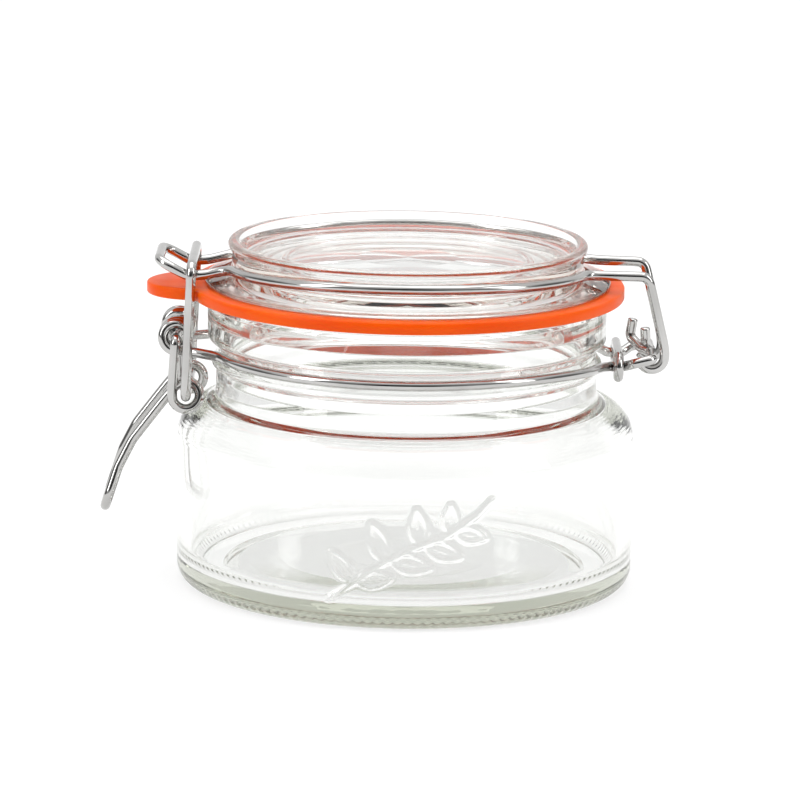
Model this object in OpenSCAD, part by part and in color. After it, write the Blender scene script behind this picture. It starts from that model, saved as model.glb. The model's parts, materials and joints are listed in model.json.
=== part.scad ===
// Lidded glass canister: a squat preserving jar whose glass lid is clamped by a sprung wire clip.
// The jar's axis is Z and its foot stands at z = 0. The latch is on the -X side, the hinge on the +X side.

/* [Glass jar] */
// Outside radius of the body
body_r = 55; // [54.6:0.1:55.4]
// Thickness of the side wall
wall = 3.4; // [3:0.1:3.8]
// Thickness of the floor at its edge
floor_t = 5; // [4.5:0.1:5.5]
// Radius of the mouth
mouth_r = 41; // [40.5:0.1:41.2]

/* [Glass lid] */
// Radius of the flange that presses the seal
flange_r = 48.7; // [48.2:0.1:49]
// Radius of the locating ring under the lid
plug_r = 37.9; // [37:0.1:38.6]

/* [Rubber gasket] */
// Outside radius of the seal
gasket_r = 52; // [51.5:0.1:52.2]
// Thickness of the seal
gasket_t = 3; // [2.8:0.1:3]
// Half width of the rounded pull tab
tab_r = 12.5; // [11:0.5:13]

/* [Wire] */
// Diameter of the bent wire
wire_d = 2.4; // [2.2:0.1:2.4]
// Diameter of the straight hinge bar and latch pins
pin_d = 2.5; // [2.4:0.1:2.5]

/* [Hidden] */
// Flats round a wire's section
sides = 12;

// Heights up the jar
rim_z = 69.7;
lid_z = rim_z + gasket_t;
lid_top = 82.9;
neck_r = 45.8;
groove_r = 45.5;
finish_r = 47.9;

// Centre of the seal's rounded tab
tab_x = -50;

// Pivots, as [x, z] in the latch and hinge planes
lever_pivot = [-55, 60.2];
link_pivot = [-52.5, 46.5];
bar_rest = [-51.2, 78.5];
hinge_pivot = [58.6, 56.7];

// Wire planes and bend radii
eye_r = 3.2;
eye_y = [-9.9, -6];
arm_y = -12.6;
coil_r = 3.25;
handle_y = -9.9;
link_y = -15.4;
leg_y = -10.25;
hook_y = -7.5;
hook_r = 3;
neck_ring_r = 47.1;
neck_ring_z = 56.85;
lid_ring_r = 43.6;
lid_ring_z = 78.8;

// ---------- geometry helpers ----------
function unit(v) = v / norm(v);
// Points of a flat arc of n steps about c, in degrees
function arc2(c, r, from, to, n) =
    [for (k = [0:n]) c + r * [cos(from + (to - from) * k / n), sin(from + (to - from) * k / n)]];
// A fillet of radius r at b, between the straights from a and to c
function fillet3(a, b, c, r) =
    let (u = unit(a - b), v = unit(c - b), turn = 180 - acos(u * v))
    turn < 4 ? [b] :
    let (reach = r * tan(turn / 2), centre = b + unit(u + v) * r / cos(turn / 2),
         from = b + u * reach - centre, to = b + v * reach - centre, n = ceil(turn / 24))
    [for (k = [0:n]) centre + (from * sin(turn * (1 - k / n)) + to * sin(turn * k / n)) / sin(turn)];
// A bent wire's centre line through the points, every inner corner rounded to r
function bent(p, r) =
    [p[0], for (i = [1:len(p) - 2]) each fillet3(p[i - 1], p[i], p[i + 1], r), p[len(p) - 1]];
// A coil of radius r about [x, z] in c, its y running from y[0] to y[1]
function coil(c, r, from, to, y) =
    let (n = ceil(abs(to - from) / 24))
    [for (k = [0:n]) let (a = from + (to - from) * k / n)
        [c[0] + r * cos(a), y[0] + (y[1] - y[0]) * k / n, c[1] + r * sin(a)]];
// The same points on the other side of y = 0, in the opposite order
function mirrored(p) = [for (i = [len(p) - 1:-1:0]) [p[i][0], -p[i][1], p[i][2]]];
function part_of(p, first, last) = [for (i = [first:last]) p[i]];
// The whole centre line, from a half that starts on the plane y = 0
function whole(p) = concat(mirrored(p), part_of(p, 1, len(p) - 1));
// The direction n made square to the heading t
function turned(n, t) = unit(n - t * (n * t));

// A round wire of diameter d along the centre line p; a closed one has no ends
module wire(p, d = wire_d, closed = false) {
    n = len(p);
    heading = [for (i = [0:n - 1])
        unit((i < n - 1 ? p[i + 1] : closed ? p[0] : p[i] * 2 - p[i - 1])
            - (i > 0 ? p[i - 1] : closed ? p[n - 1] : p[0] * 2 - p[1]))];
    seed = abs(heading[0][2]) < 0.9 ? [0, 0, 1] : [1, 0, 0];
    normal = [for (i = 0, v = turned(seed, heading[0]); i < n;
                   i = i + 1, v = i < n ? turned(v, heading[i]) : v) v];
    points = [for (i = [0:n - 1]) let (side = cross(heading[i], normal[i])) for (k = [0:sides - 1])
        p[i] + d / 2 * (cos(k * 360 / sides) * normal[i] + sin(k * 360 / sides) * side)];
    last = closed ? n - 1 : n - 2;
    skin = [for (i = [0:last]) for (k = [0:sides - 1])
        let (a = i * sides, b = ((i + 1) % n) * sides, m = (k + 1) % sides)
        each [[a + k, b + m, a + m], [a + k, b + k, b + m]]];
    caps = closed ? [] : [[for (k = [0:sides - 1]) k],
                          [for (k = [sides - 1:-1:0]) (n - 1) * sides + k]];
    polyhedron(points, concat(skin, caps), convexity = 8);
}

// A true round pin along Y, centred on [x, z]
module pin(at, from, to) {
    translate([at[0], to, at[1]]) rotate([90, 0, 0]) cylinder(h = to - from, d = pin_d, $fn = 48);
}

// ---------- glass ----------
// Pressed body with a rounded shoulder, a neck with a wire groove, and a lip under the seal
module glass_jar() {
    inner_r = body_r - wall;
    throat_r = mouth_r + 1.7;
    lip_r = 1.6;
    outside = concat(
        [[0, 0]],
        arc2([body_r - 4.5, 4.5], 4.5, -90, 0, 6),
        arc2([body_r - 8.5, 35.6], 8.5, 0, 78, 8),
        [[neck_r + 0.4, 45.2], [neck_r, 46.8], [neck_r, 52.4]],
        arc2([neck_r, 53.7], 1.1, -60, 60, 5),
        [[groove_r, 55.3], [groove_r, 57.7], [46.6, 58.4], [finish_r - 0.2, 59.4], [finish_r, 60.2]],
        arc2([finish_r - 1.1, rim_z - 1.1], 1.1, 0, 90, 4));
    inside = concat(
        arc2([mouth_r + lip_r, rim_z - lip_r], lip_r, 90, 180, 5),
        [[mouth_r, 66.6], [throat_r, 63.3], [throat_r, 49.8]],
        arc2([throat_r, 35], inner_r - throat_r, 80, 0, 7),
        arc2([inner_r - 5, floor_t + 5], 5, 0, -90, 6),
        [[30, floor_t + 0.7], [0, floor_t + 1.2]]);
    color([0.9, 0.95, 0.93, 0.4]) rotate_extrude($fn = 96) polygon(concat(outside, inside));
}

// Pressed disc with a groove round it for its wire and a locating ring underneath
module glass_lid() {
    ring_z = 66.7;
    upper = concat(
        [[0, 79.2], [37.2, 79.2]],
        arc2([37.2, 81.6], 2.4, -90, -20, 4),
        arc2([41.3, 81.9], 1, 170, 90, 4),
        arc2([42.1, lid_top - 1], 1, 90, -45, 6),
        [[42.1, 80.2], [42.1, 76.1], [45, 75], [47.8, 74.2]]);
    lower = concat(
        arc2([flange_r - 0.7, lid_z + 0.7], 0.7, 45, -90, 5),
        [[plug_r + 1, lid_z], [plug_r, lid_z - 1], [plug_r, ring_z + 1.4]],
        arc2([plug_r - 2.3, ring_z + 0.9], 0.9, -20, -90, 4),
        arc2([plug_r - 3.1, ring_z + 0.9], 0.9, -100, -160, 4),
        [[plug_r - 8.5, 75.3], [0, 75.9]]);
    color([0.92, 0.96, 0.94, 0.4]) rotate_extrude($fn = 96) polygon(concat(upper, lower));
}

// ---------- rubber ----------
// Flat seal ring with a rounded pull tab on the latch side
module rubber_gasket() {
    color([0.98, 0.36, 0.05]) translate([0, 0, rim_z]) linear_extrude(gasket_t) difference() {
        union() {
            circle(r = gasket_r, $fn = 96);
            translate([tab_x, 0]) circle(r = tab_r, $fn = 64);
        }
        circle(r = mouth_r + 0.4, $fn = 96);
    }
}

// ---------- wire work ----------
// Ring of wire round the neck, with two sprung eyes for the lever and a bar for the hinge
module neck_wire() {
    eye_top = lever_pivot + [0, eye_r];
    bar_x = eye_top[0] + 2.6;
    function towards_hinge(a) = pow((1 + sin(a)) / 2, 10);
    ring = [for (a = [-70:6.8:66]) let (r = neck_ring_r + 0.9 * towards_hinge(a))
        [r * sin(a), -r * cos(a), neck_ring_z - 2.4 * towards_hinge(a)]];
    latch_end = concat(
        bent([[bar_x, 0, eye_top[1]], [bar_x, eye_y[1], eye_top[1]],
              [eye_top[0] + 0.3, eye_y[1], eye_top[1]]], 1.8),
        coil(lever_pivot, eye_r, -270, 270, [eye_y[1], eye_y[0]]),
        [[-51, -10.4, 56.9], [-47.6, -12.9, 56.8]]);
    hinge_end = bent([[46.4, -12.8, 55], [48.6, -8.8, 54.5], [52.2, -8.8, 54.6], [54.2, -10.8, 55.6],
                      [hinge_pivot[0], -10.8, hinge_pivot[1]], [hinge_pivot[0], -8, hinge_pivot[1]]], 1.3);
    half = concat(latch_end, ring, hinge_end);
    color("silver") {
        wire(whole(half));
        pin(hinge_pivot, -9.2, 9.2);
        wire(bent([[58.6, -1.6, 56.7], [56.4, -0.6, 57.2], [53.6, 1.3, 60], [54.3, 1.4, 64.3]], 2));
        wire(bent([[58.6, 1.6, 56.7], [57.9, 0.4, 57.6], [57.3, -1.5, 59.4], [57.1, -1.6, 62.7]], 1.2));
    }
}

// Flat oval clip that holds the two strands together beside the neck
module neck_wire_clip() {
    x = 50.6;
    half_w = 11.4;
    half_h = 2.5;
    z = 54.5;
    color("silver") wire([for (side = [0, 1]) for (k = [0:6])
        let (a = side * 180 - 90 + k * 30, middle = (half_w - half_h) * (1 - 2 * side))
        [x, middle + half_h * cos(a), z + half_h * sin(a)]], closed = true);
}

// Ring of wire round the lid: a nose for the link on one side, two hooks on the hinge bar
module lid_wire() {
    function ring_z(a) = lid_ring_z - 1.9 * sin(a) * sin(a);
    ring = [for (a = [-75:6:75]) [lid_ring_r * sin(a), -lid_ring_r * cos(a), ring_z(a)]];
    nose = bent([[-59.2, 0, 78.9], [-59.2, leg_y, 78.9], [-52.4, leg_y, 75.3], [-48, leg_y, 75.6],
                 [-44, leg_y - 0.4, 76.6]], 3.4);
    leg = bent([[45.5, leg_y - 0.2, 76.8], [57.2, leg_y + 0.2, 76.6],
                [hinge_pivot[0] + hook_r + 0.1, hook_y - 0.1, hinge_pivot[1] + 1.6]], 2.4);
    hook = coil(hinge_pivot, hook_r, 0, -143, [hook_y, hook_y]);
    half = concat(nose, ring, leg, hook);
    color("silver") wire(whole(half));
}

// Lever: hooks through the eyes, a coil for the link on each side, and a long handle loop
module latch_lever() {
    tail = bent([[-54, -3.8, 48.6], [-54.4, -3.8, lever_pivot[1]],
                 [lever_pivot[0], -6.6, lever_pivot[1]]], 1.3);
    arm = bent([[lever_pivot[0], -10.5, lever_pivot[1]], [lever_pivot[0], arm_y, lever_pivot[1]],
                [link_pivot[0] - coil_r, arm_y, link_pivot[1] + 1.5]], 1.3);
    lower = coil(link_pivot, coil_r, 180, 500, [arm_y, handle_y]);
    handle = bent([[-58.2, handle_y, 44.7], [-65.4, handle_y - 0.2, 35.2], [-68.7, handle_y - 1, 28.6],
                   [-71.9, handle_y - 2.6, 18.6], [-71.9, 0, 18.6]], 4);
    side = concat(arm, lower, handle);
    color("silver") {
        wire(concat(side, part_of(mirrored(side), 1, len(side) - 1)));
        wire(tail);
        wire(mirrored(tail));
        pin(lever_pivot, -10.9, -6.2);
        pin(lever_pivot, 6.2, 10.9);
    }
}

// Link: a closed loop that carries the pull from the lever to the lid wire's nose
module latch_link() {
    low = link_pivot;
    high = bar_rest;
    pin_y = -link_y - 2.8;
    half = bent([[high[0], 0, high[1]], [high[0], link_y, high[1]], [low[0], link_y, low[1]],
                 [low[0], 0.4 - pin_y, low[1]]], 2.6);
    color("silver") {
        wire(whole(half));
        pin(low, -pin_y, pin_y);
    }
}

glass_jar();
glass_lid();
rubber_gasket();
neck_wire();
neck_wire_clip();
lid_wire();
latch_lever();
latch_link();
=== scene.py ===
import bmesh
import bpy
import json
from math import sin, cos, tan, acos, atan2, pi, radians, ceil, exp, hypot, sqrt
from mathutils import Matrix, Vector


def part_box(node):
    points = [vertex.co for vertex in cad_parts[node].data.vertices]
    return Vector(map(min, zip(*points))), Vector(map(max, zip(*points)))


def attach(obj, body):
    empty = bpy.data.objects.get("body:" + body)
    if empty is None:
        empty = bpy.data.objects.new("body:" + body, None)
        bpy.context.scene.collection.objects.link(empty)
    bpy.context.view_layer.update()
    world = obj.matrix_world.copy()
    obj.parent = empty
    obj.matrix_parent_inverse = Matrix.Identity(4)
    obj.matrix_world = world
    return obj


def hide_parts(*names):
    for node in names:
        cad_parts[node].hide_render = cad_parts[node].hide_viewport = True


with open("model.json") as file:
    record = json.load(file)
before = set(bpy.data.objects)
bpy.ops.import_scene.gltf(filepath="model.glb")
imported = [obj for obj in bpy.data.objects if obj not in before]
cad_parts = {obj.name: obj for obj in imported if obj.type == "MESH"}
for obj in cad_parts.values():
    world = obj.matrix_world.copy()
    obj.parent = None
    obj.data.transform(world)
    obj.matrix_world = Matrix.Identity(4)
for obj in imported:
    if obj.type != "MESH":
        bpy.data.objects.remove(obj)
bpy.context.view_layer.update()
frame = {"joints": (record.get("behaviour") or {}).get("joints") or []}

# ---------- values read from the frame ----------
# Everything but the stage is in millimetres until a mesh is made
MM = 0.001


def pivot(joint):
    """A joint's place in millimetres, as [x, z]."""
    found = [j for j in frame["joints"] if j["name"] == joint][0]["pos_m"]
    return [found[0] / MM, found[2] / MM]


def node_box(node):
    """The low and the high corner of a CAD node's box in millimetres."""
    low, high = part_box(node)
    return [v / MM for v in low], [v / MM for v in high]


HINGE = pivot("lid_hinge")
LEVER = pivot("lever_pivot")
LINK = pivot("link_pivot")
JAR_HIGH = node_box("glass_jar")[1]
LID_HIGH = node_box("glass_lid")[1]
SEAL_LOW, SEAL_HIGH = node_box("rubber_gasket")
BODY_R = JAR_HIGH[0]
RIM_Z = JAR_HIGH[2]
LID_TOP = LID_HIGH[2]
FLANGE_R = LID_HIGH[0]
SEAL_R = SEAL_HIGH[1]
SEAL_BASE = SEAL_LOW[2]
SEAL_TOP = SEAL_HIGH[2]

# ---------- values of the jar, the lid and the seal ----------
WALL = 3.4
# Bends at the foot, outside and inside
HEEL_R, HEEL_INSIDE_R = 4.5, 5.0
# The shoulder's bend, and where it starts up the wall
SHOULDER_R, SHOULDER_Z = 8.5, 35.6
# Outside radii above the shoulder: the neck, the wire's groove and the band under the seal
NECK_R, GROOVE_R, FINISH_R = 45.8, 45.5, 47.9
# Inside radii: the mouth and the undercut below it; then the rounding of the rim
MOUTH_R, THROAT_R, LIP_R = 41.0, 42.7, 1.6
# The lid's face, and the wall above the groove for its wire
LID_FACE_Z, LID_WALL_R = 79.2, 42.1
# The locating ring under the lid: its radius, its lowest point and its rounding
PLUG_R, PLUG_FOOT, PLUG_SOFT = 37.9, 66.65, 0.9
# The seal's hole, its rounded edges, and the hair's breadth between it and the glass
SEAL_HOLE_R, SEAL_SOFT, SEAL_GAP = 41.4, 0.4, 0.06
# The middle of the seal's rounded tab
TAB_X = -50.0
TAB_R = TAB_X - SEAL_LOW[0]
JAR_COLUMNS, LID_COLUMNS, SEAL_COLUMNS = 720, 480, 480

# ---------- values of the wire work ----------
WIRE_R, WIRE_SIDES, BEND_STEP, CUT_CHAMFER = 1.2, 24, 6.0, 0.25
# Coil radii, and the planes along Y that the wires lie in on the near side
EYE_R, EYE_Y = 3.2, (-9.9, -6.0)
ARM_Y, COIL_R, HANDLE_Y = -12.6, 3.25, -9.9
LINK_Y, LEG_Y, HOOK_Y, HOOK_R = -15.4, -10.25, -7.5, 3.0
# The rings round the neck and round the lid
NECK_RING_R, NECK_RING_Z = 47.1, 56.85
LID_RING_R, LID_RING_Z = 43.6, 78.8
# The link's upper bar at rest, as (x, z)
BAR = (-51.2, 78.5)

# ---------- values of the ornament ----------
# The stem is a line of points; each leaf is its root (x, z), its heading in degrees and its length
SPRIG_STEM = [(-17.5, 7.5), (-11, 12), (-4, 17), (3, 20.5), (10, 23), (17, 27.5), (20.5, 31)]
SPRIG_LEAVES = ((-12, 12, 128, 9), (-11, 12, 8, 9), (-4, 17, 112, 10), (-3, 17.5, -12, 10),
                (4, 21, 98, 9), (5, 21, -20, 9.5), (11, 23.5, 92, 7.5), (12, 24, -14, 8))
SPRIG_RAISE, VEIN_RAISE = 0.55, 0.3
RIB_COUNT, RIB_DEPTH, RIB_LOW, RIB_HIGH = 144, 0.32, 0.25, 3.2

# ---------- values of the camera and the light ----------
# Degrees, degrees and metres
CAMERA_TILT, CAMERA_ROLL, CAMERA_AWAY = 11.91, 0.83, 1.2061
CAMERA_TARGET = (0, 0, 0.042)
CAMERA_LENS, CAMERA_SENSOR, CAMERA_SHIFT = 225.2, 36, (-0.0073, 0.0089)
# Each shade is a place on the ramp, from facing away to facing the direction, and a brightness
FRONT_SHADES = ((0.0, 0.92), (0.86, 0.9), (0.955, 0.09), (1.0, 0.07))
FOOT_SHADES = ((0.0, 0.3), (0.05, 0.35), (0.2, 0.9), (1.0, 0.95))
FLAG_SHADES = ((0.0, 1.0), (0.88, 1.0), (0.96, 0.22), (1.0, 0.2))


# ---------- camera, floor and light ----------
def make_camera():
    """A long lens a little above the rim, looking at the jar's front and turned by under a degree."""
    tilt, roll = radians(CAMERA_TILT), radians(CAMERA_ROLL)
    back = Vector((0, -cos(tilt), sin(tilt)))
    right = Vector((1, 0, 0))
    up = back.cross(right)
    data = bpy.data.cameras.new("camera")
    data.lens, data.sensor_width = CAMERA_LENS, CAMERA_SENSOR
    data.shift_x, data.shift_y = CAMERA_SHIFT
    data.clip_end = 50
    camera = bpy.data.objects.new("camera", data)
    across = right * cos(roll) + up * sin(roll)
    above = up * cos(roll) - right * sin(roll)
    turn = Matrix((across, above, back)).transposed().to_4x4()
    camera.matrix_world = Matrix.Translation(Vector(CAMERA_TARGET) + back * CAMERA_AWAY) @ turn
    bpy.context.scene.collection.objects.link(camera)
    bpy.context.scene.camera = camera


def make_floor():
    """A pale matt floor that glows a little, so that it runs into the backdrop."""
    bpy.ops.mesh.primitive_circle_add(vertices=128, radius=6, fill_type="NGON", location=(0, 0, 0))
    floor = bpy.context.object
    floor.name = "floor"
    material, nodes, links, shader = new_material("studio_floor")
    shader.inputs["Base Color"].default_value = (0.34, 0.34, 0.34, 1)
    shader.inputs["Roughness"].default_value = 0.9
    shader.inputs["Emission Color"].default_value = (1, 1, 1, 1)
    shader.inputs["Emission Strength"].default_value = 0.68
    floor.data.materials.append(material)


def area_light(name, at, aim, size, power, size_y=None):
    """A soft box at a place, turned towards another."""
    data = bpy.data.lights.new(name, "AREA")
    data.shape = "RECTANGLE"
    data.size, data.size_y, data.energy = size, size_y or size, power
    light = bpy.data.objects.new(name, data)
    light.location = at
    light.rotation_euler = (Vector(aim) - Vector(at)).to_track_quat("-Z", "Y").to_euler()
    bpy.context.scene.collection.objects.link(light)


def make_light():
    """A white tent, grey at its foot and dark where the camera stands, and three soft boxes."""
    world = bpy.data.worlds.new("studio")
    bpy.context.scene.world = world
    world.use_nodes = True
    nodes, links = world.node_tree.nodes, world.node_tree.links
    coords = nodes.new("ShaderNodeTexCoord")
    front = world_ramp(nodes, links, coords, (0, -0.98, 0.17), FRONT_SHADES)
    foot = world_ramp(nodes, links, coords, (0, 0.55, 0.83), FOOT_SHADES)
    shade = times(nodes, links, front, foot)
    for side in (-0.97, 0.97):
        flag = world_ramp(nodes, links, coords, (side, 0.2, 0.1), FLAG_SHADES)
        shade = times(nodes, links, shade, flag)
    links.new(shade, nodes["Background"].inputs["Color"])
    nodes["Background"].inputs["Strength"].default_value = 1.0
    area_light("top_box", (0, 0.1, 1.3), (0, 0, 0), 1.2, 8)
    area_light("left_box", (-0.9, -0.5, 0.55), (0, 0, 0.04), 0.3, 4, 0.8)
    area_light("right_box", (0.9, -0.35, 0.5), (0, 0, 0.04), 0.25, 3, 0.8)


def times(nodes, links, a, b):
    """Multiplies two colours."""
    mix = nodes.new("ShaderNodeMix")
    mix.data_type, mix.blend_type = "RGBA", "MULTIPLY"
    mix.inputs[0].default_value = 1
    links.new(a, mix.inputs[6])
    links.new(b, mix.inputs[7])
    return mix.outputs[2]


def world_ramp(nodes, links, coords, towards, shades):
    """Shades the world by how nearly a direction points towards the given one."""
    dot = nodes.new("ShaderNodeVectorMath")
    dot.operation = "DOT_PRODUCT"
    dot.inputs[1].default_value = towards
    links.new(coords.outputs["Generated"], dot.inputs[0])
    ramp = nodes.new("ShaderNodeValToRGB")
    first, last = ramp.color_ramp.elements
    first.position, last.position = shades[0][0], shades[-1][0]
    for place, _ in shades[1:-1]:
        ramp.color_ramp.elements.new(place)
    for element, (_, shade) in zip(ramp.color_ramp.elements, shades):
        element.color = (shade, shade, shade, 1)
    links.new(dot.outputs["Value"], ramp.inputs[0])
    return ramp.outputs[0]


# ---------- materials ----------
def new_material(name):
    """A fresh material with its nodes, its links and its shader."""
    material = bpy.data.materials.new(name)
    material.use_nodes = True
    nodes, links = material.node_tree.nodes, material.node_tree.links
    return material, nodes, links, nodes["Principled BSDF"]


def noise(nodes, links, scale, detail=3, stretch=(1, 1, 1)):
    """A noise texture that stays with the piece."""
    coords = nodes.new("ShaderNodeTexCoord")
    mapping = nodes.new("ShaderNodeMapping")
    mapping.inputs["Scale"].default_value = stretch
    texture = nodes.new("ShaderNodeTexNoise")
    texture.inputs["Scale"].default_value = scale
    texture.inputs["Detail"].default_value = detail
    links.new(coords.outputs["Object"], mapping.inputs[0])
    links.new(mapping.outputs[0], texture.inputs["Vector"])
    return texture


def bump(nodes, links, shader, texture, strength, distance):
    """Lets a texture raise the surface a little."""
    node = nodes.new("ShaderNodeBump")
    node.inputs["Strength"].default_value = strength
    node.inputs["Distance"].default_value = distance
    links.new(texture.outputs["Fac"], node.inputs["Height"])
    links.new(node.outputs["Normal"], shader.inputs["Normal"])


def as_color(value):
    """A ramp's colour, from a colour or a number."""
    return (*value, 1) if isinstance(value, tuple) else (value, value, value, 1)


def varied(nodes, links, texture, socket, low, high):
    """Lets a noise texture vary a colour or a number between low and high."""
    ramp = nodes.new("ShaderNodeValToRGB")
    first, last = ramp.color_ramp.elements
    first.position, last.position = 0.3, 0.7
    first.color = as_color(low)
    last.color = as_color(high)
    links.new(texture.outputs["Fac"], ramp.inputs[0])
    links.new(ramp.outputs[0], socket)


def glass_material(name, tint, density):
    """Clear pressed glass: faintly rippled, and tinted where the light passes through a lot of it."""
    material, nodes, links, shader = new_material(name)
    shader.inputs["Transmission Weight"].default_value = 1
    shader.inputs["IOR"].default_value = 1.5
    ripple = noise(nodes, links, 38, 2, (1, 1, 0.45))
    bump(nodes, links, shader, ripple, 0.25, 0.0001)
    cloud = noise(nodes, links, 60)
    varied(nodes, links, cloud, shader.inputs["Base Color"], (0.985, 0.992, 0.988), (1.0, 1.0, 1.0))
    haze = noise(nodes, links, 160, 4)
    varied(nodes, links, haze, shader.inputs["Roughness"], 0.0, 0.012)
    volume = nodes.new("ShaderNodeVolumeAbsorption")
    volume.inputs["Color"].default_value = (*tint, 1)
    volume.inputs["Density"].default_value = density
    links.new(volume.outputs[0], nodes["Material Output"].inputs["Volume"])
    return material


def wire_material():
    """Bright drawn steel: fine draw lines, small differences in polish."""
    material, nodes, links, shader = new_material("bright_drawn_steel")
    shader.inputs["Metallic"].default_value = 1
    tone = noise(nodes, links, 90, 3)
    varied(nodes, links, tone, shader.inputs["Base Color"], (0.46, 0.455, 0.445), (0.56, 0.555, 0.545))
    polish = noise(nodes, links, 260, 4)
    varied(nodes, links, polish, shader.inputs["Roughness"], 0.07, 0.17)
    bump(nodes, links, shader, noise(nodes, links, 700, 2), 0.12, 0.00008)
    return material


def rubber_material():
    """Smooth moulded rubber: bright orange, a soft gloss and a fine skin."""
    material, nodes, links, shader = new_material("orange_rubber")
    tone = noise(nodes, links, 45, 4)
    varied(nodes, links, tone, shader.inputs["Base Color"], (0.8, 0.078, 0.0), (0.9, 0.11, 0.0))
    gloss = noise(nodes, links, 120, 3)
    varied(nodes, links, gloss, shader.inputs["Roughness"], 0.32, 0.46)
    shader.inputs["Specular IOR Level"].default_value = 0.15
    shader.inputs["Subsurface Weight"].default_value = 0.35
    shader.inputs["Subsurface Scale"].default_value = 0.012
    shader.inputs["Subsurface Radius"].default_value = (1.0, 0.2, 0.03)
    bump(nodes, links, shader, noise(nodes, links, 900, 3), 0.15, 0.0001)
    return material


# ---------- mesh helpers ----------
def make_piece(name, verts, faces, material, body, slot, node):
    """Makes a smooth-shaded piece with outward faces, ties it to its body and hides its CAD node. The slot
    is not used.
    """
    mesh = bpy.data.meshes.new(name)
    mesh.from_pydata([tuple(c * MM for c in v) for v in verts], [], faces)
    mesh.validate()
    shape = bmesh.new()
    shape.from_mesh(mesh)
    bmesh.ops.recalc_face_normals(shape, faces=shape.faces)
    shape.to_mesh(mesh)
    shape.free()
    mesh.polygons.foreach_set("use_smooth", [True] * len(mesh.polygons))
    mesh.materials.append(material)
    piece = bpy.data.objects.new(name, mesh)
    bpy.context.scene.collection.objects.link(piece)
    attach(piece, body)
    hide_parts(node)
    return piece


def arc2(c, r, start, end, n):
    """n + 1 points of an arc about c, from start to end degrees."""
    turns = [radians(start + (end - start) * k / n) for k in range(n + 1)]
    return [(c[0] + r * cos(turn), c[1] + r * sin(turn)) for turn in turns]


def line2(a, b, n):
    """n points from a towards b, without b."""
    return [(a[0] + (b[0] - a[0]) * k / n, a[1] + (b[1] - a[1]) * k / n) for k in range(n)]


def rounded(points, radii, step=12.0):
    """A profile whose inner corners are rounded to the radii."""
    out = [points[0]]
    for i in range(1, len(points) - 1):
        bend = fillet3(flat(points[i - 1]), flat(points[i]), flat(points[i + 1]), radii[i - 1], step)
        out += [(p.x, p.z) for p in bend]
    return out + [points[-1]]


def flat(p):
    """A profile's point, as a vector in the plane y = 0."""
    return Vector((p[0], 0, p[1]))


def crisp(profile, margin=0.15):
    """Adds a point near each end of every straight, so that smooth shading leaves the straight flat."""
    out = [profile[0]]
    for (ax, az), (bx, bz) in zip(profile, profile[1:]):
        length = hypot(bx - ax, bz - az)
        if length > 4 * margin:
            for t in (margin / length, 1 - margin / length):
                out.append((ax + (bx - ax) * t, az + (bz - az) * t))
        if length > 0.01:
            out.append((bx, bz))
    return out


def lathe(profile, columns, shift=None):
    """A closed solid of revolution, from a profile that starts and ends on the axis.

    The function shift moves each point of a ring outwards.
    """
    verts = [(0, 0, profile[0][1])]
    rings = profile[1:-1]
    for r, z in rings:
        for k in range(columns):
            a = 2 * pi * k / columns
            out = r + (shift(a, r, z) if shift else 0)
            verts.append((out * sin(a), -out * cos(a), z))
    verts.append((0, 0, profile[-1][1]))
    faces = []
    last = len(verts) - 1
    for k in range(columns):
        m = (k + 1) % columns
        faces.append((0, 1 + m, 1 + k))
        for i in range(len(rings) - 1):
            a, b = 1 + i * columns, 1 + (i + 1) * columns
            faces.append((a + k, a + m, b + m, b + k))
        end = 1 + (len(rings) - 1) * columns
        faces.append((last, end + k, end + m))
    return verts, faces


def fillet3(a, b, c, r, step=BEND_STEP):
    """A fillet of radius r at b, between the straights from a and to c."""
    u, v = (a - b).normalized(), (c - b).normalized()
    turn = pi - acos(max(-1, min(1, u.dot(v))))
    if turn < 0.03:
        return [b]
    centre = b + (u + v).normalized() * (r / cos(turn / 2))
    reach = r * tan(turn / 2)
    start, end = b + u * reach - centre, b + v * reach - centre
    n = max(2, ceil(turn / radians(step)))
    out = []
    for k in range(n + 1):
        out.append(centre + (start * sin(turn * (1 - k / n)) + end * sin(turn * k / n)) / sin(turn))
    return out


def bent(points, r):
    """A bent wire's centre line: straights, with every inner corner rounded to r."""
    p = [Vector(v) for v in points]
    out = [p[0]]
    for i in range(1, len(p) - 1):
        out += fillet3(p[i - 1], p[i], p[i + 1], r)
    return out + [p[-1]]


def coil(c, r, start, end, y):
    """A coil of radius r about [x, z] in c, its y running from y[0] to y[1]."""
    n = ceil(abs(end - start) / BEND_STEP)
    out = []
    for k in range(n + 1):
        a = radians(start + (end - start) * k / n)
        out.append(Vector((c[0] + r * cos(a), y[0] + (y[1] - y[0]) * k / n, c[1] + r * sin(a))))
    return out


def mirrored(p):
    """The same points on the other side of y = 0, in the opposite order."""
    return [Vector((v.x, -v.y, v.z)) for v in reversed(p)]


def smooth_line(p, closed=False, rounds=2):
    """Eases the small kinks where an arc meets a straight."""
    for _ in range(rounds):
        q = list(p)
        for i in range(len(p)):
            if closed or 0 < i < len(p) - 1:
                a, b = p[i - 1], p[(i + 1) % len(p)]
                if (p[i] - a).length < 4 and (b - p[i]).length < 4:
                    q[i] = p[i] * 0.5 + (a + b) * 0.25
        p = q
    return p


def even_line(p, step=1.6):
    """Breaks long straights into steps, so that the line eases over them."""
    out = [p[0]]
    for a, b in zip(p, p[1:]):
        n = max(1, ceil((b - a).length / step))
        out += [a.lerp(b, k / n) for k in range(1, n + 1)]
    return [v for i, v in enumerate(out) if i == 0 or (v - out[i - 1]).length > 0.02]


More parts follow.
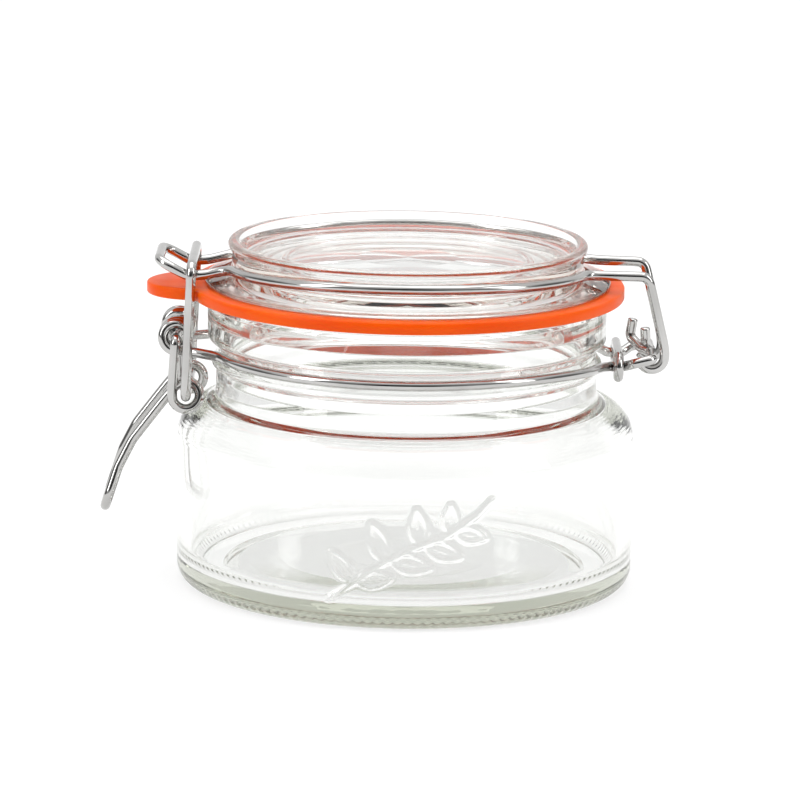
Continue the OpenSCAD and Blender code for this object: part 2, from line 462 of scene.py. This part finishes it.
def headings(p, closed):
    """The direction of a line at each of its points."""
    n = len(p)
    if closed:
        return [(p[(i + 1) % n] - p[i - 1]).normalized() for i in range(n)]
    return [(p[min(i + 1, n - 1)] - p[max(i - 1, 0)]).normalized() for i in range(n)]


def untwisted(heading):
    """A direction square to each heading, carried along the line without twist."""
    seed = Vector((0, 0, 1)) if abs(heading[0].z) < 0.9 else Vector((1, 0, 0))
    normals = []
    for h in heading:
        seed = (seed - h * seed.dot(h)).normalized()
        normals.append(seed)
    return normals


def closing_twist(heading, normals):
    """The turn that brings the last normal of a closed line back to the first one."""
    end = (normals[-1] - heading[0] * normals[-1].dot(heading[0])).normalized()
    side = heading[0].cross(normals[0])
    return -atan2(end.dot(side), end.dot(normals[0]))


def tube(p, closed=False):
    """A round wire along the line p, with chamfered cut ends."""
    n = len(p)
    heading = headings(p, closed)
    normals = untwisted(heading)
    twist = closing_twist(heading, normals) if closed else 0.0
    rings = [(p[i], heading[i], normals[i], WIRE_R, twist * i / n) for i in range(n)]
    if not closed:
        cut = WIRE_R - CUT_CHAMFER
        rings[0] = (p[0] + heading[0] * CUT_CHAMFER, heading[0], normals[0], WIRE_R, 0)
        rings[-1] = (p[-1] - heading[-1] * CUT_CHAMFER, heading[-1], normals[-1], WIRE_R, 0)
        rings.insert(0, (p[0], heading[0], normals[0], cut, 0))
        rings.append((p[-1], heading[-1], normals[-1], cut, 0))
    verts = []
    for at, h, nrm, radius, spin in rings:
        side = h.cross(nrm)
        for k in range(WIRE_SIDES):
            a = 2 * pi * k / WIRE_SIDES + spin
            verts.append(tuple(at + (nrm * cos(a) + side * sin(a)) * radius))
    faces = []
    count = len(rings)
    for i in range(count if closed else count - 1):
        a, b = i * WIRE_SIDES, ((i + 1) % count) * WIRE_SIDES
        for k in range(WIRE_SIDES):
            m = (k + 1) % WIRE_SIDES
            faces.append((a + k, a + m, b + m, b + k))
    if not closed:
        faces.append(tuple(reversed(range(WIRE_SIDES))))
        faces.append(tuple((count - 1) * WIRE_SIDES + k for k in range(WIRE_SIDES)))
    return verts, faces


def joined(*shapes):
    """Several shapes as one."""
    verts, faces = [], []
    for v, f in shapes:
        faces += [tuple(k + len(verts) for k in face) for face in f]
        verts += v
    return verts, faces


# ---------- glass ----------
def stem_height(x, z):
    """How far the sprig's stem stands out."""
    best = 0.0
    for (ax, az), (bx, bz) in zip(SPRIG_STEM, SPRIG_STEM[1:]):
        dx, dz = bx - ax, bz - az
        t = max(0, min(1, ((x - ax) * dx + (z - az) * dz) / (dx * dx + dz * dz)))
        away = hypot(x - ax - t * dx, z - az - t * dz)
        best = max(best, SPRIG_RAISE * exp(-(away / 0.75) ** 4))
    return best


def leaf_height(x, z, leaf):
    """How far one leaf stands out: a raised outline and a lower vein."""
    root_x, root_z, heading, length = leaf
    c, s = cos(radians(heading)), sin(radians(heading))
    along = (x - root_x) * c + (z - root_z) * s
    across = (z - root_z) * c - (x - root_x) * s
    t = along / length
    if not 0 < t < 1:
        return 0.0
    edge = abs(across) - 0.21 * length * sin(pi * t ** 0.8)
    rim = SPRIG_RAISE * exp(-(edge / 0.5) ** 2)
    vein = VEIN_RAISE * exp(-(across / 0.4) ** 2) if edge < 0 else 0.0
    return max(rim, vein)


def sprig_height(x, z):
    """How far a raised leafy sprig stands out at x round the front and z up the wall."""
    return max(stem_height(x, z), max(leaf_height(x, z, leaf) for leaf in SPRIG_LEAVES))


def jar_shift(a, r, z):
    """The raised sprig on the front and the row of small ribs round the foot."""
    front = a if a < pi else a - 2 * pi
    if r > BODY_R - 0.5 and HEEL_R + 0.1 < z < SHOULDER_Z and abs(front) < 0.5:
        return sprig_height(front * BODY_R, z)
    if r > BODY_R - 5 and RIB_LOW < z < RIB_HIGH:
        swell = sin(pi * (z - RIB_LOW) / (RIB_HIGH - RIB_LOW))
        return -RIB_DEPTH * swell * (0.5 + 0.5 * cos(RIB_COUNT * a))
    return 0


def jar_outside():
    """From the middle of the foot up to the rim."""
    out = [(0, 1.6), (20, 1.5), (40, 1.2), (42.8, 0.2), (43.6, 0)]
    out += arc2((BODY_R - HEEL_R, HEEL_R), HEEL_R, -90, 0, 12)
    out += line2((BODY_R, HEEL_R + 0.5), (BODY_R, SHOULDER_Z), 62)
    out += arc2((BODY_R - SHOULDER_R, SHOULDER_Z), SHOULDER_R, 0, 78, 14)
    neck = [(NECK_R + 1.6, 44.6), (NECK_R + 0.3, 45.6), (NECK_R, 47.5), (NECK_R, 52.2)]
    out += rounded(neck, (1.5, 3))[1:]
    out += arc2((NECK_R, 53.7), 1.1, -60, 60, 8)
    groove = [(GROOVE_R + 0.1, 55.1), (GROOVE_R, 56), (GROOVE_R, 57.6), (FINISH_R, 59.6), (FINISH_R, 61)]
    out += rounded(groove, (1, 1, 1.5))[1:]
    out += arc2((FINISH_R - 1.1, RIM_Z - 1.1), 1.1, 0, 90, 8)
    return out


def jar_inside():
    """From the rim down to the middle of the floor."""
    inner = BODY_R - WALL
    out = arc2((MOUTH_R + LIP_R, RIM_Z - LIP_R), LIP_R, 90, 180, 10)
    undercut = [(MOUTH_R, 67.6), (MOUTH_R, 66.6), (THROAT_R, 63.3), (THROAT_R, 49.8), (44.2, 43.8)]
    out += rounded(undercut, (0.4, 0.6, 3))[1:-1]
    out += arc2((THROAT_R, 35), inner - THROAT_R, 80, 0, 16)
    out += [(inner, 24)]
    out += arc2((inner - HEEL_INSIDE_R, 10), HEEL_INSIDE_R, 0, -90, 12)
    out += [(38, 5.2), (30, 5.7), (15, 6.1), (0, 6.2)]
    return out


def lid_upper():
    """The lid's face, its raised rim and the groove for its wire, out to the flange."""
    out = [(0, LID_FACE_Z), (20, LID_FACE_Z), (36, LID_FACE_Z)]
    out += arc2((37.2, LID_FACE_Z + 2.4), 2.4, -90, -20, 8)
    out += arc2((41.3, LID_TOP - 1), 1, 170, 90, 6)
    out += arc2((LID_WALL_R, LID_TOP - 1), 1, 90, -45, 10)
    groove = [(LID_WALL_R + 0.3, 80.6), (LID_WALL_R, 80), (LID_WALL_R, 76.1), (45, 75),
              (47.8, 74.2), (48.2, 74)]
    out += rounded(groove, (0.6, 1, 2, 1))[1:-1]
    return out


def lid_lower():
    """The flange's edge, the face on the seal, the locating ring and the dish inside it."""
    out = arc2((FLANGE_R - 0.7, SEAL_TOP + 0.7), 0.7, 45, -90, 6)
    corner = [(46, SEAL_TOP), (PLUG_R + 1, SEAL_TOP), (PLUG_R, 71.7), (PLUG_R, PLUG_FOOT + 1.45)]
    out += rounded(corner, (0.3, 1.5))[1:]
    out += arc2((PLUG_R - 1.4 - PLUG_SOFT, PLUG_FOOT + PLUG_SOFT), PLUG_SOFT, -20, -90, 6)
    out += arc2((PLUG_R - 4 + PLUG_SOFT, PLUG_FOOT + PLUG_SOFT), PLUG_SOFT, -100, -160, 6)
    dish = [(33.8, 67.4), (29.4, 75.3), (20, 75.6), (12, 75.8)]
    out += rounded(dish, (3, 3))[1:]
    return out + [(0, 75.9)]


# ---------- rubber ----------
def seal_reach(a):
    """How far out the seal's edge is, at the angle a from the tab."""
    away = abs(sin(a) * TAB_X)
    if cos(a) > 0 and away < TAB_R:
        return max(SEAL_R, -cos(a) * TAB_X + sqrt(TAB_R ** 2 - away ** 2))
    return SEAL_R


def seal_loop(out):
    """The seal's section, with soft edges, from its hole to its edge at out."""
    inner, soft = SEAL_HOLE_R, SEAL_SOFT
    low, high = SEAL_BASE + SEAL_GAP, SEAL_TOP - SEAL_GAP
    upper = [(inner, low + soft), (inner, high - soft), (inner + soft, high), (46, high),
             (out - 1.6, high), (out - soft, high - 0.03), (out - 0.15, high - 0.15), (out, high - soft)]
    lower = [(out, low + soft), (out - 0.15, low + 0.15), (out - soft, low + 0.03), (out - 1.6, low),
             (46, low), (inner + soft, low)]
    return upper + lower


def seal():
    """A flat ring with soft edges and a rounded pull tab, very slightly wavy."""
    columns = SEAL_COLUMNS
    reach = [seal_reach(2 * pi * k / columns) for k in range(columns)]
    for _ in range(3):
        pairs = [reach[k - 1] + reach[(k + 1) % columns] for k in range(columns)]
        reach = [reach[k] * 0.5 + pairs[k] * 0.25 for k in range(columns)]
    verts, faces = [], []
    n = len(seal_loop(SEAL_R))
    for k in range(columns):
        a = 2 * pi * k / columns
        for r, z in seal_loop(reach[k]):
            droop = 0.25 * max(0.0, (r - 49) / 13) * (1 + sin(3 * a + 1)) * 0.5
            verts.append((-r * cos(a), r * sin(a), z - droop))
        m = (k + 1) % columns
        for i in range(n):
            j = (i + 1) % n
            faces.append((k * n + i, k * n + j, m * n + j, m * n + i))
    return verts, faces


# ---------- wire work ----------
def whole(half):
    """The whole centre line, from a half that starts on the plane y = 0."""
    return mirrored(half) + half[1:]


def neck_wire():
    """Ring of wire round the neck: two sprung eyes, a bar for the hinge and two twisted ends."""
    top = LEVER[1] + EYE_R
    bar_x = LEVER[0] + 2.6
    eyes = bent([(bar_x, 0, top), (bar_x, EYE_Y[1], top), (LEVER[0] + 0.3, EYE_Y[1], top)], 1.8)
    eyes += coil(LEVER, EYE_R, -270, 270, (EYE_Y[1], EYE_Y[0]))
    eyes += [Vector((-51, -10.4, 56.9)), Vector((-47.6, -12.9, 56.8))]
    ring = []
    for k in range(69):
        a = radians(-70 + 2 * k)
        towards_hinge = ((1 + sin(a)) / 2) ** 10
        r = NECK_RING_R + 0.9 * towards_hinge
        ring.append(Vector((r * sin(a), -r * cos(a), NECK_RING_Z - 2.4 * towards_hinge)))
    hinge = bent([(46.4, -12.8, 55), (48.6, -8.8, 54.5), (52.2, -8.8, 54.6), (54.2, -10.8, 55.6),
                  (HINGE[0], -10.8, HINGE[1]), (HINGE[0], 0.0, HINGE[1])], 1.3)
    line = smooth_line(even_line(eyes + ring + hinge), rounds=3)
    near, far = tube(line), tube(mirrored(line))
    end_1 = bent([(HINGE[0], -2.6, HINGE[1]), (HINGE[0] - 0.4, -1.6, HINGE[1] + 0.3), (56.4, -0.6, 57.4),
                  (53.6, 1.3, 60), (54.3, 1.4, 64.3)], 2)
    end_2 = bent([(HINGE[0], 2.6, HINGE[1]), (58.2, 1.2, 57.3), (57.3, -1.5, 59.4), (57.1, -1.6, 62.7)], 1.6)
    return joined(near, far, tube(even_line(end_1, 0.8)), tube(even_line(end_2, 0.8)))


def neck_clip():
    """Flat oval clip round both strands beside the neck."""
    x, half_w, half_h, z = 50.6, 11.4, 2.5, 54.5
    line = []
    for side in (0, 1):
        for k in range(25):
            a = radians(side * 180 - 90 + k * 7.5)
            middle = (half_w - half_h) * (1 - 2 * side)
            line.append(Vector((x, half_h * cos(a) + middle, z + half_h * sin(a))))
    return tube(line, closed=True)


def lid_wire():
    """Ring of wire round the lid: a nose for the link on one side, two hooks on the hinge bar."""
    nose = bent([(-59.2, 0, 78.9), (-59.2, LEG_Y, 78.9), (-52.4, LEG_Y, 75.3), (-48, LEG_Y, 75.6),
                 (-44, LEG_Y - 0.4, 76.6)], 3.4)
    ring = []
    for k in range(76):
        a = radians(-75 + 2 * k)
        ring.append(Vector((LID_RING_R * sin(a), -LID_RING_R * cos(a), LID_RING_Z - 1.9 * sin(a) ** 2)))
    leg = bent([(45.5, LEG_Y - 0.2, 76.8), (57.2, LEG_Y + 0.2, 76.6),
                (HINGE[0] + HOOK_R + 0.1, HOOK_Y - 0.1, HINGE[1] + 1.6)], 2.4)
    half = nose + ring + leg + coil(HINGE, HOOK_R, 0, -143, (HOOK_Y, HOOK_Y))
    return tube(smooth_line(even_line(whole(half)), rounds=3))


def latch_lever():
    """Lever: hooks through the eyes, a coil for the link on each side, and a long handle loop."""
    tail = bent([(-54, -3.8, 48.6), (-54.4, -3.8, LEVER[1]), (LEVER[0], -8, LEVER[1]),
                 (LEVER[0], ARM_Y, LEVER[1]), (LINK[0] - COIL_R, ARM_Y, LINK[1] + 1.5)], 1.3)
    handle = bent([(-58.2, HANDLE_Y, 44.7), (-65.4, HANDLE_Y - 0.2, 35.2), (-68.7, HANDLE_Y - 1, 28.6),
                   (-71.9, HANDLE_Y - 2.6, 18.6), (-71.9, 0, 18.6)], 4)
    side = tail + coil(LINK, COIL_R, 180, 500, (ARM_Y, HANDLE_Y)) + handle
    return tube(smooth_line(even_line(side + mirrored(side)[1:])))


def latch_link():
    """Closed loop between the lever's coils and the lid wire's nose."""
    half = bent([(BAR[0], 0, BAR[1]), (BAR[0], LINK_Y, BAR[1]), (LINK[0], LINK_Y, LINK[1]),
                 (LINK[0], 0, LINK[1])], 2.6)
    line = even_line(half + mirrored(half)[1:])
    return tube(smooth_line(line[:-1], closed=True), closed=True)


# ---------- build ----------
def build():
    """Makes the eight pieces."""
    jar_glass = glass_material("jar_glass", (0.7, 0.72, 0.63), 18)
    lid_glass = glass_material("lid_glass", (0.8, 0.74, 0.66), 13)
    steel = wire_material()
    jar = lathe(crisp(jar_outside() + jar_inside()), JAR_COLUMNS, jar_shift)
    make_piece("jar_glass_body", *jar, jar_glass, "jar", "jar_glass", "glass_jar")
    lid = lathe(crisp(lid_upper() + lid_lower()), LID_COLUMNS)
    make_piece("lid_glass_disc", *lid, lid_glass, "lid", "lid_glass", "glass_lid")
    make_piece("seal_ring", *seal(), rubber_material(), "lid", "seal_rubber", "rubber_gasket")
    for name, shape, body, node in (("neck_ring_wire", neck_wire, "jar", "neck_wire"),
                                    ("hinge_clip", neck_clip, "jar", "neck_wire_clip"),
                                    ("lid_ring_wire", lid_wire, "lid", "lid_wire"),
                                    ("lever_wire", latch_lever, "lever", "latch_lever"),
                                    ("link_wire", latch_link, "link", "latch_link")):
        make_piece(name, *shape(), steel, body, "bright_wire", node)


def set_bounces():
    """Lets light pass through every wall of the jar and the lid."""
    cycles = bpy.context.scene.cycles
    cycles.max_bounces = 40
    cycles.transmission_bounces = 32
    cycles.glossy_bounces = 16


make_camera()
make_floor()
make_light()
build()
bpy.context.scene.view_settings.view_transform = "Standard"
set_bounces()
